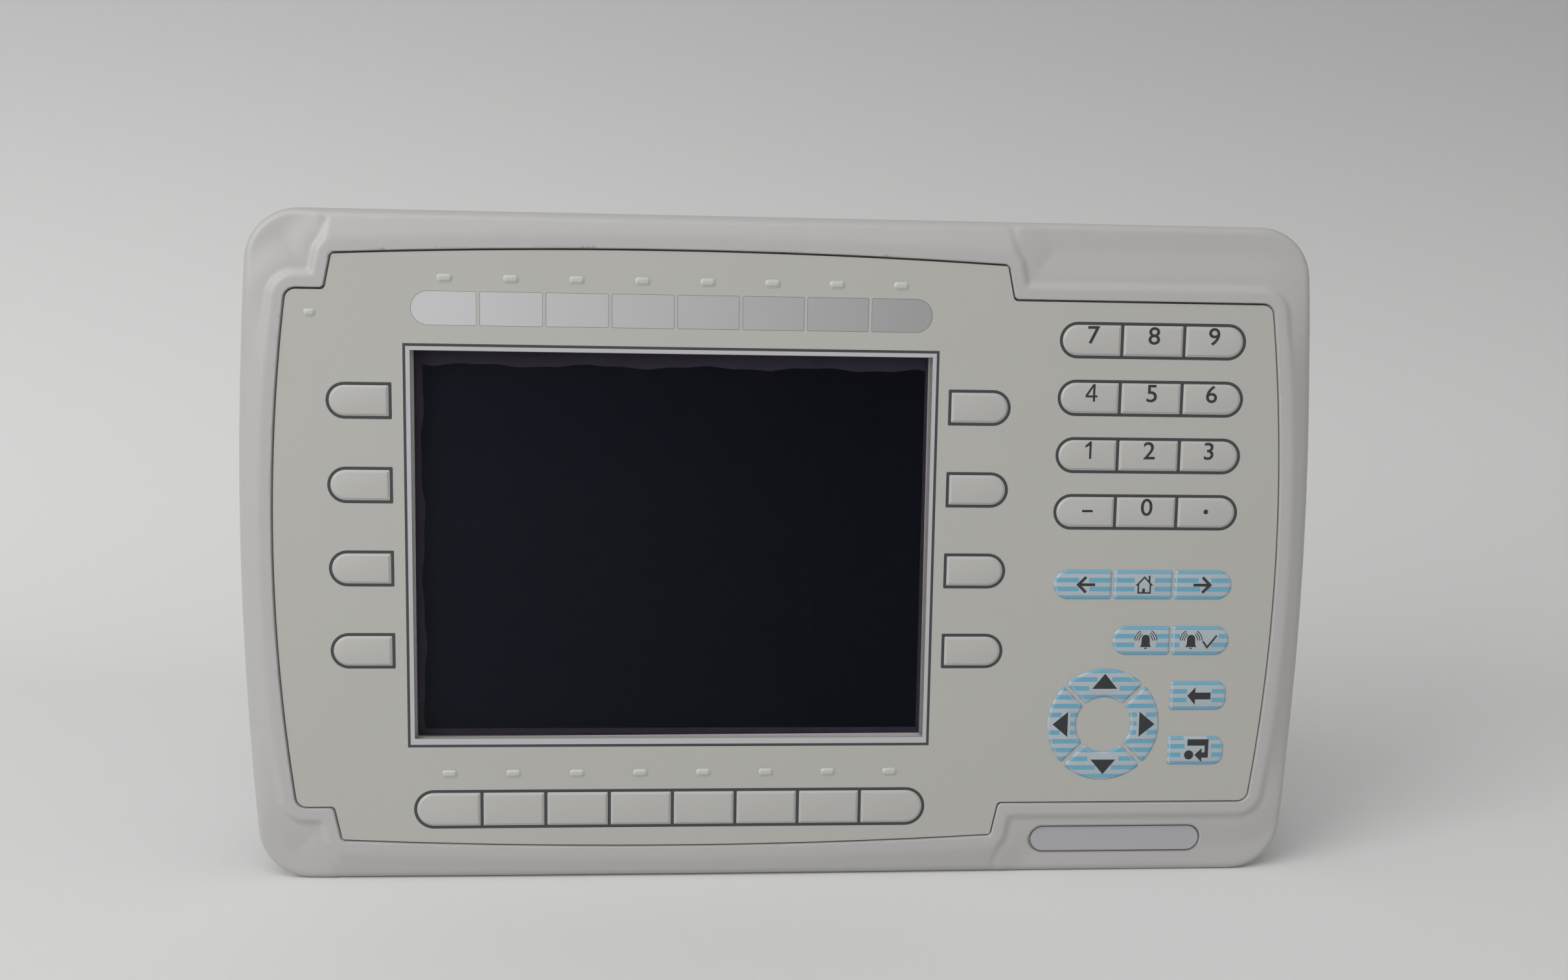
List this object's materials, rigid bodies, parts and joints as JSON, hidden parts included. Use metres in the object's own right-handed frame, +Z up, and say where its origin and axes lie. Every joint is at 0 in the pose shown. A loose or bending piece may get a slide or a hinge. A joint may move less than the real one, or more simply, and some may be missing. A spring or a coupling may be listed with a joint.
{
  "type": "operator panel",
  "caption": "Operator panel with a display, a membrane keypad and a number block in a moulded frame, and a sheet-metal rear box for a cabinet door.",
  "frame": {"origin": "centre of the mounting face, where the back of the front frame meets the cabinet door", "axes": "+X to the operator's right, +Y into the cabinet, +Z up"},
  "size_m": [0.285, 0.062, 0.177],
  "materials": {
    "bezel": "fine-textured moulded light grey",
    "overlay": "matt keypad film, greenish light grey",
    "key": "matt embossed film, greenish light grey",
    "window": "clear pane over a dark display",
    "legend": "clear window over a pale strip",
    "lamp": "clear lamp, unlit",
    "spacer": "matt",
    "dome": "spring steel",
    "circuit": "flexible circuit",
    "display_module": "dark frame",
    "seal": "soft black rubber",
    "board": "solder mask",
    "standoff": "nickelled brass",
    "rear_cover": "plated sheet steel",
    "screw": "zinc plated",
    "power_connector": "moulded green",
    "port_metal": "nickelled steel shell",
    "card_metal": "pressed steel shell",
    "eject_button": "black moulded"
  },
  "bodies": {
    "housing": {"board_standoffs": "standoff", "card_socket": "card_metal", "cover_screws": "screw", "display_window": "window", "ethernet_jack": "port_metal", "front_bezel": "bezel", "key_spacer": "spacer", "keypad_circuit": "circuit", "lcd_module": "display_module", "legend_windows": "legend", "main_board": "board", "overlay_film": "overlay", "panel_seal": "seal", "power_header": "power_connector", "rear_cover": "rear_cover", "serial_port_25": "port_metal", "serial_port_9": "port_metal", "snap_domes": "dome", "status_lamps": "lamp", "usb_ports": "port_metal"},
    "alarm_list_key": {"alarm_list_key": "key"},
    "alarm_reset_key": {"alarm_reset_key": "key"},
    "backspace_key": {"backspace_key": "key"},
    "digit_key_0": {"digit_key_0": "key"},
    "digit_key_1": {"digit_key_1": "key"},
    "digit_key_2": {"digit_key_2": "key"},
    "digit_key_3": {"digit_key_3": "key"},
    "digit_key_4": {"digit_key_4": "key"},
    "digit_key_5": {"digit_key_5": "key"},
    "digit_key_6": {"digit_key_6": "key"},
    "digit_key_7": {"digit_key_7": "key"},
    "digit_key_8": {"digit_key_8": "key"},
    "digit_key_9": {"digit_key_9": "key"},
    "down_key": {"down_key": "key"},
    "enter_key": {"enter_key": "key"},
    "function_key_1": {"function_key_1": "key"},
    "function_key_2": {"function_key_2": "key"},
    "function_key_3": {"function_key_3": "key"},
    "function_key_4": {"function_key_4": "key"},
    "function_key_5": {"function_key_5": "key"},
    "function_key_6": {"function_key_6": "key"},
    "function_key_7": {"function_key_7": "key"},
    "function_key_8": {"function_key_8": "key"},
    "home_key": {"home_key": "key"},
    "left_key": {"left_key": "key"},
    "minus_key": {"minus_key": "key"},
    "next_key": {"next_key": "key"},
    "point_key": {"point_key": "key"},
    "previous_key": {"previous_key": "key"},
    "right_key": {"right_key": "key"},
    "soft_key_left_1": {"soft_key_left_1": "key"},
    "soft_key_left_2": {"soft_key_left_2": "key"},
    "soft_key_left_3": {"soft_key_left_3": "key"},
    "soft_key_left_4": {"soft_key_left_4": "key"},
    "soft_key_right_1": {"soft_key_right_1": "key"},
    "soft_key_right_2": {"soft_key_right_2": "key"},
    "soft_key_right_3": {"soft_key_right_3": "key"},
    "soft_key_right_4": {"soft_key_right_4": "key"},
    "up_key": {"up_key": "key"},
    "card_eject_button": {"card_eject_button": "eject_button"}
  },
  "joints": [
    {"name": "alarm_list_key_press", "type": "slide", "parent": "housing", "child": "alarm_list_key", "axis": [0, 1, 0], "range_m": [0, 0.0004], "stiffness_N_per_m": 6000},
    {"name": "alarm_reset_key_press", "type": "slide", "parent": "housing", "child": "alarm_reset_key", "axis": [0, 1, 0], "range_m": [0, 0.0004], "stiffness_N_per_m": 6000},
    {"name": "backspace_key_press", "type": "slide", "parent": "housing", "child": "backspace_key", "axis": [0, 1, 0], "range_m": [0, 0.0004], "stiffness_N_per_m": 6000},
    {"name": "digit_key_0_press", "type": "slide", "parent": "housing", "child": "digit_key_0", "axis": [0, 1, 0], "range_m": [0, 0.0004], "stiffness_N_per_m": 6000},
    {"name": "digit_key_1_press", "type": "slide", "parent": "housing", "child": "digit_key_1", "axis": [0, 1, 0], "range_m": [0, 0.0004], "stiffness_N_per_m": 6000},
    {"name": "digit_key_2_press", "type": "slide", "parent": "housing", "child": "digit_key_2", "axis": [0, 1, 0], "range_m": [0, 0.0004], "stiffness_N_per_m": 6000},
    {"name": "digit_key_3_press", "type": "slide", "parent": "housing", "child": "digit_key_3", "axis": [0, 1, 0], "range_m": [0, 0.0004], "stiffness_N_per_m": 6000},
    {"name": "digit_key_4_press", "type": "slide", "parent": "housing", "child": "digit_key_4", "axis": [0, 1, 0], "range_m": [0, 0.0004], "stiffness_N_per_m": 6000},
    {"name": "digit_key_5_press", "type": "slide", "parent": "housing", "child": "digit_key_5", "axis": [0, 1, 0], "range_m": [0, 0.0004], "stiffness_N_per_m": 6000},
    {"name": "digit_key_6_press", "type": "slide", "parent": "housing", "child": "digit_key_6", "axis": [0, 1, 0], "range_m": [0, 0.0004], "stiffness_N_per_m": 6000},
    {"name": "digit_key_7_press", "type": "slide", "parent": "housing", "child": "digit_key_7", "axis": [0, 1, 0], "range_m": [0, 0.0004], "stiffness_N_per_m": 6000},
    {"name": "digit_key_8_press", "type": "slide", "parent": "housing", "child": "digit_key_8", "axis": [0, 1, 0], "range_m": [0, 0.0004], "stiffness_N_per_m": 6000},
    {"name": "digit_key_9_press", "type": "slide", "parent": "housing", "child": "digit_key_9", "axis": [0, 1, 0], "range_m": [0, 0.0004], "stiffness_N_per_m": 6000},
    {"name": "down_key_press", "type": "slide", "parent": "housing", "child": "down_key", "axis": [0, 1, 0], "range_m": [0, 0.0004], "stiffness_N_per_m": 6000},
    {"name": "enter_key_press", "type": "slide", "parent": "housing", "child": "enter_key", "axis": [0, 1, 0], "range_m": [0, 0.0004], "stiffness_N_per_m": 6000},
    {"name": "function_key_1_press", "type": "slide", "parent": "housing", "child": "function_key_1", "axis": [0, 1, 0], "range_m": [0, 0.0004], "stiffness_N_per_m": 6000},
    {"name": "function_key_2_press", "type": "slide", "parent": "housing", "child": "function_key_2", "axis": [0, 1, 0], "range_m": [0, 0.0004], "stiffness_N_per_m": 6000},
    {"name": "function_key_3_press", "type": "slide", "parent": "housing", "child": "function_key_3", "axis": [0, 1, 0], "range_m": [0, 0.0004], "stiffness_N_per_m": 6000},
    {"name": "function_key_4_press", "type": "slide", "parent": "housing", "child": "function_key_4", "axis": [0, 1, 0], "range_m": [0, 0.0004], "stiffness_N_per_m": 6000},
    {"name": "function_key_5_press", "type": "slide", "parent": "housing", "child": "function_key_5", "axis": [0, 1, 0], "range_m": [0, 0.0004], "stiffness_N_per_m": 6000},
    {"name": "function_key_6_press", "type": "slide", "parent": "housing", "child": "function_key_6", "axis": [0, 1, 0], "range_m": [0, 0.0004], "stiffness_N_per_m": 6000},
    {"name": "function_key_7_press", "type": "slide", "parent": "housing", "child": "function_key_7", "axis": [0, 1, 0], "range_m": [0, 0.0004], "stiffness_N_per_m": 6000},
    {"name": "function_key_8_press", "type": "slide", "parent": "housing", "child": "function_key_8", "axis": [0, 1, 0], "range_m": [0, 0.0004], "stiffness_N_per_m": 6000},
    {"name": "home_key_press", "type": "slide", "parent": "housing", "child": "home_key", "axis": [0, 1, 0], "range_m": [0, 0.0004], "stiffness_N_per_m": 6000},
    {"name": "left_key_press", "type": "slide", "parent": "housing", "child": "left_key", "axis": [0, 1, 0], "range_m": [0, 0.0004], "stiffness_N_per_m": 6000},
    {"name": "minus_key_press", "type": "slide", "parent": "housing", "child": "minus_key", "axis": [0, 1, 0], "range_m": [0, 0.0004], "stiffness_N_per_m": 6000},
    {"name": "next_key_press", "type": "slide", "parent": "housing", "child": "next_key", "axis": [0, 1, 0], "range_m": [0, 0.0004], "stiffness_N_per_m": 6000},
    {"name": "point_key_press", "type": "slide", "parent": "housing", "child": "point_key", "axis": [0, 1, 0], "range_m": [0, 0.0004], "stiffness_N_per_m": 6000},
    {"name": "previous_key_press", "type": "slide", "parent": "housing", "child": "previous_key", "axis": [0, 1, 0], "range_m": [0, 0.0004], "stiffness_N_per_m": 6000},
    {"name": "right_key_press", "type": "slide", "parent": "housing", "child": "right_key", "axis": [0, 1, 0], "range_m": [0, 0.0004], "stiffness_N_per_m": 6000},
    {"name": "soft_key_left_1_press", "type": "slide", "parent": "housing", "child": "soft_key_left_1", "axis": [0, 1, 0], "range_m": [0, 0.0004], "stiffness_N_per_m": 6000},
    {"name": "soft_key_left_2_press", "type": "slide", "parent": "housing", "child": "soft_key_left_2", "axis": [0, 1, 0], "range_m": [0, 0.0004], "stiffness_N_per_m": 6000},
    {"name": "soft_key_left_3_press", "type": "slide", "parent": "housing", "child": "soft_key_left_3", "axis": [0, 1, 0], "range_m": [0, 0.0004], "stiffness_N_per_m": 6000},
    {"name": "soft_key_left_4_press", "type": "slide", "parent": "housing", "child": "soft_key_left_4", "axis": [0, 1, 0], "range_m": [0, 0.0004], "stiffness_N_per_m": 6000},
    {"name": "soft_key_right_1_press", "type": "slide", "parent": "housing", "child": "soft_key_right_1", "axis": [0, 1, 0], "range_m": [0, 0.0004], "stiffness_N_per_m": 6000},
    {"name": "soft_key_right_2_press", "type": "slide", "parent": "housing", "child": "soft_key_right_2", "axis": [0, 1, 0], "range_m": [0, 0.0004], "stiffness_N_per_m": 6000},
    {"name": "soft_key_right_3_press", "type": "slide", "parent": "housing", "child": "soft_key_right_3", "axis": [0, 1, 0], "range_m": [0, 0.0004], "stiffness_N_per_m": 6000},
    {"name": "soft_key_right_4_press", "type": "slide", "parent": "housing", "child": "soft_key_right_4", "axis": [0, 1, 0], "range_m": [0, 0.0004], "stiffness_N_per_m": 6000},
    {"name": "up_key_press", "type": "slide", "parent": "housing", "child": "up_key", "axis": [0, 1, 0], "range_m": [0, 0.0004], "stiffness_N_per_m": 6000},
    {"name": "card_eject_press", "type": "slide", "parent": "housing", "child": "card_eject_button", "axis": [-1, 0, 0], "range_m": [0, 0.003], "stiffness_N_per_m": 500}
  ]
}
